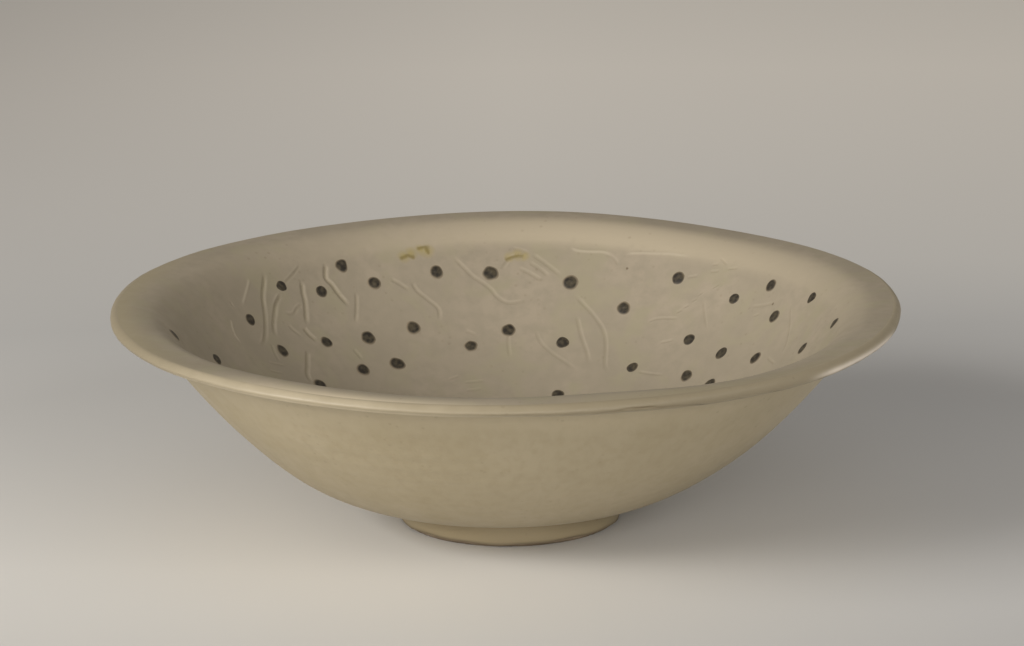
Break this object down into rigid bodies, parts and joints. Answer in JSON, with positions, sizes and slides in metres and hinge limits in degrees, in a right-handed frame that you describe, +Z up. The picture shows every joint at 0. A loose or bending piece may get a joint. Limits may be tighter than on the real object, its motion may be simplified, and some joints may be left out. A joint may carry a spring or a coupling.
{
  "type": "glazed bowl",
  "caption": "Shallow wheel-thrown bowl with a flared rolled lip and low foot ring, celadon glazed, with incised sprays and iron-brown spots inside; holds food or water.",
  "frame": {"origin": "on the wheel's axis at the bottom of the foot ring, in the middle of the bowl", "axes": "+Z up along the wheel's axis to the rim, -Y towards the viewer of the picture, +X to the picture's right"},
  "size_m": [0.28, 0.28, 0.0795],
  "materials": {
    "clay": "fired stoneware, bare and matt",
    "inside_celadon": "grey-olive celadon, soft gloss",
    "outside_celadon": "brown-olive celadon, soft gloss",
    "iron_brown": "iron-brown pigment fired into the glaze"
  },
  "bodies": {
    "root": {"clay_body": "clay", "rolled_lip": "clay", "foot_ring": "clay", "inside_glaze": "inside_celadon", "outside_glaze": "outside_celadon", "iron_spot_01": "iron_brown", "iron_spot_02": "iron_brown", "iron_spot_03": "iron_brown", "iron_spot_04": "iron_brown", "iron_spot_05": "iron_brown", "iron_spot_06": "iron_brown", "iron_spot_07": "iron_brown", "iron_spot_08": "iron_brown", "iron_spot_09": "iron_brown", "iron_spot_10": "iron_brown", "iron_spot_11": "iron_brown", "iron_spot_12": "iron_brown", "iron_spot_13": "iron_brown", "iron_spot_14": "iron_brown", "iron_spot_15": "iron_brown", "iron_spot_16": "iron_brown", "iron_spot_17": "iron_brown", "iron_spot_18": "iron_brown", "iron_spot_19": "iron_brown", "iron_spot_20": "iron_brown", "iron_spot_21": "iron_brown", "iron_spot_22": "iron_brown", "iron_spot_23": "iron_brown", "iron_spot_24": "iron_brown", "iron_spot_25": "iron_brown", "iron_spot_26": "iron_brown", "iron_spot_27": "iron_brown", "iron_spot_28": "iron_brown", "iron_spot_29": "iron_brown", "iron_spot_30": "iron_brown", "iron_spot_31": "iron_brown", "iron_spot_32": "iron_brown", "iron_spot_33": "iron_brown", "iron_spot_34": "iron_brown", "iron_spot_35": "iron_brown", "iron_spot_36": "iron_brown", "iron_spot_37": "iron_brown", "iron_spot_38": "iron_brown", "iron_spot_39": "iron_brown", "iron_spot_40": "iron_brown", "iron_spot_41": "iron_brown", "iron_spot_42": "iron_brown", "iron_spot_43": "iron_brown", "iron_spot_44": "iron_brown", "iron_spot_45": "iron_brown", "iron_spot_46": "iron_brown", "iron_spot_47": "iron_brown", "iron_spot_48": "iron_brown", "iron_spot_49": "iron_brown", "iron_spot_50": "iron_brown", "iron_spot_51": "iron_brown", "iron_spot_52": "iron_brown", "iron_spot_53": "iron_brown", "iron_spot_54": "iron_brown"}
  },
  "joints": []
}
